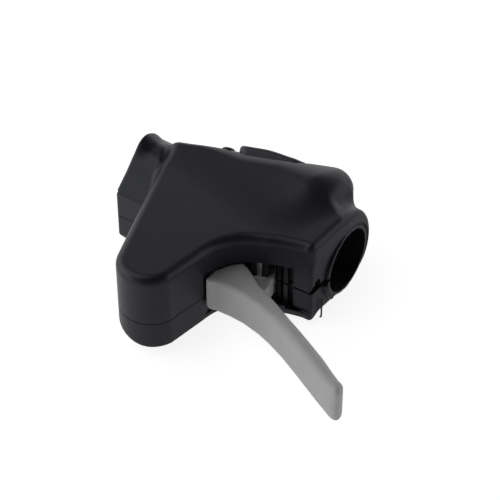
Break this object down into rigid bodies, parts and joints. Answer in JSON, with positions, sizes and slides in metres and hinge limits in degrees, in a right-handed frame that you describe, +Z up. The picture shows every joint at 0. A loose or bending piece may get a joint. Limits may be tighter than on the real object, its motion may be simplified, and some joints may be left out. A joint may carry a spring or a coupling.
{
  "type": "throttle lever housing",
  "caption": "Handlebar throttle housing: split plastic shell with a sprung finger lever, bar clamp, grip collar and rear buttons.",
  "frame": {"origin": "on the handlebar's axis at the outboard end face, where the grip's inner flange enters", "axes": "+X along the handlebar, outboard to the grip; +Y to the rider; +Z up, square to the housing's split plane"},
  "size_m": [0.1325, 0.1028, 0.0493],
  "materials": {
    "housing_plastic": "fine moulded grain",
    "lever_plastic": "smooth satin, warm light grey",
    "bushing_plastic": "smooth acetal",
    "stainless": "brushed",
    "spring_steel": "drawn wire",
    "magnet": "nickel plated",
    "rubber": "moulded",
    "seal_rubber": "silicone",
    "lead_rubber": "jacketed",
    "inner_plastic": "glass-filled",
    "circuit_board": "solder mask",
    "chip_plastic": "moulded package",
    "clamp_aluminium": "bead blasted",
    "button_plastic": "semi-gloss",
    "brass": "turned"
  },
  "bodies": {
    "lever_body": {"lever": "lever_plastic", "lever_bushings": "bushing_plastic", "sensor_magnet": "magnet"},
    "rocker_body": {"rocker_button": "button_plastic"},
    "mode_body": {"mode_button": "button_plastic"},
    "housing_body": {"upper_shell": "housing_plastic", "lower_shell": "housing_plastic", "thrust_washers": "bushing_plastic", "pivot_pin": "stainless", "return_spring": "spring_steel", "lever_bumper": "rubber", "sensor_housing": "inner_plastic", "sensor_cover": "inner_plastic", "sensor_screws": "stainless", "sensor_board": "circuit_board", "hall_sensors": "chip_plastic", "clamp_saddle": "clamp_aluminium", "clamp_cap": "clamp_aluminium", "clamp_screws": "stainless", "switch_bezel": "button_plastic", "rocker_axle": "stainless", "keypad_membrane": "rubber", "tact_switches": "chip_plastic", "switch_board": "circuit_board", "board_screws": "stainless", "shell_screws": "stainless", "threaded_inserts": "brass", "harness_connector": "inner_plastic", "connector_pins": "brass", "connector_seal": "seal_rubber", "sensor_lead": "lead_rubber", "panel_lead": "lead_rubber", "retaining_clip": "spring_steel"}
  },
  "joints": [
    {"name": "lever_pull", "type": "hinge", "parent": "housing_body", "child": "lever_body", "pos_m": [-0.0245, -0.0275, 0], "axis": [0, 0, 1], "range_deg": [0, 22], "stiffness_Nm_per_rad": 0.35, "springref_deg": -20.05, "deforming": ["return_spring"]},
    {"name": "rocker_tilt", "type": "hinge", "parent": "housing_body", "child": "rocker_body", "pos_m": [-0.04412, 0.01254, 0.02185], "axis": [-0.0473, 0.6339, -0.7719], "range_deg": [-5, 5], "stiffness_Nm_per_rad": 0.02},
    {"name": "mode_press", "type": "slide", "parent": "housing_body", "child": "mode_body", "axis": [0.2182, -0.7476, -0.6273], "range_m": [0, 0.0008], "stiffness_N_per_m": 600}
  ]
}
